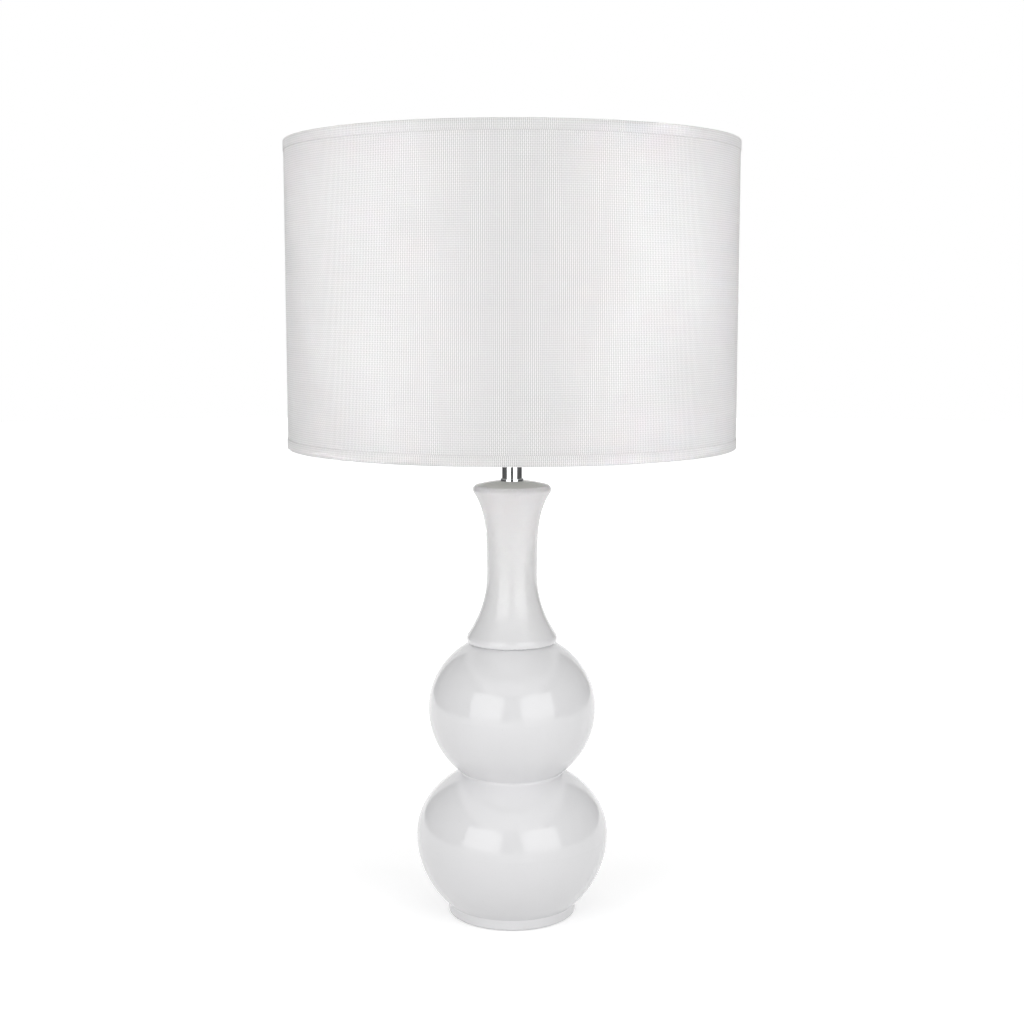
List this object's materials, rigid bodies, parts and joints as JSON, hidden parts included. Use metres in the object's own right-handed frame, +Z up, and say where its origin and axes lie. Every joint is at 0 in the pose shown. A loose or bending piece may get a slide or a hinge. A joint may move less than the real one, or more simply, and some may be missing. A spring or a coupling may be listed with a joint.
{
  "type": "table lamp",
  "caption": "Table lamp with a glazed ceramic double gourd body, a flared neck, a chrome tube and a straight drum shade of white woven fabric.",
  "frame": {"origin": "on the table, under the middle of the foot", "axes": "+Z up along the lamp's axis; the cord hole is at the back, towards +Y"},
  "size_m": [0.35, 0.35, 0.6106],
  "materials": {
    "glaze": "gloss glaze, pale cool grey-white",
    "pad": "pale felt",
    "bush_plastic": "white moulded",
    "zinc_steel": "zinc plated",
    "chrome": "polished",
    "black_rubber": "matte",
    "holder_plastic": "white moulded",
    "insulator": "matt white",
    "brass": "plain",
    "white_metal": "white powder coat",
    "shade_cloth": "white linen weave",
    "shade_liner": "white, satin",
    "hem_cloth": "white plain tape",
    "bulb_white": "frosted white",
    "bulb_board": "white faced board",
    "black_glass": "gloss",
    "nickel": "plated"
  },
  "bodies": {
    "base": {"foot_pad": "pad", "ceramic_body": "glaze", "cord_grommet": "bush_plastic", "threaded_rod": "zinc_steel", "bottom_nut": "zinc_steel", "bottom_lock_washer": "zinc_steel", "bottom_plate_washer": "zinc_steel", "bottom_rubber_washer": "black_rubber", "tube_flange": "chrome", "neck_tube": "chrome", "tube_bushes": "bush_plastic", "lampholder_cap": "holder_plastic", "cap_grub_screw": "zinc_steel", "terminal_block": "insulator", "terminal_screws": "brass", "centre_contact": "brass", "side_contact": "brass", "lampholder_skirt": "holder_plastic", "screw_shell": "brass", "shade_rest_ring": "holder_plastic"},
    "shade_ring": {"shade_clamp_ring": "holder_plastic"},
    "shade": {"fitter_ring": "white_metal", "fitter_arms": "white_metal", "bottom_wire_ring": "white_metal", "top_wire_ring": "white_metal", "shade_liner": "shade_liner", "shade_fabric": "shade_cloth", "top_hem_tape": "hem_cloth", "bottom_hem_tape": "hem_cloth"},
    "bulb": {"bulb_diffuser": "bulb_white", "bulb_housing": "bulb_white", "bulb_led_board": "bulb_board", "bulb_screw_cap": "nickel", "bulb_insulator": "black_glass", "bulb_contact": "nickel"}
  },
  "joints": [
    {"name": "shade_lift", "type": "slide", "parent": "base", "child": "shade_ring", "axis": [0, 0, 1], "range_m": [0, 0.26]},
    {"name": "shade_turn", "type": "hinge", "parent": "shade_ring", "child": "shade", "pos_m": [0, 0, 0.403], "axis": [0, 0, 1], "continuous": true},
    {"name": "bulb_out", "type": "slide", "parent": "base", "child": "bulb", "axis": [0, 0, 1], "range_m": [0, 0.215]}
  ]
}
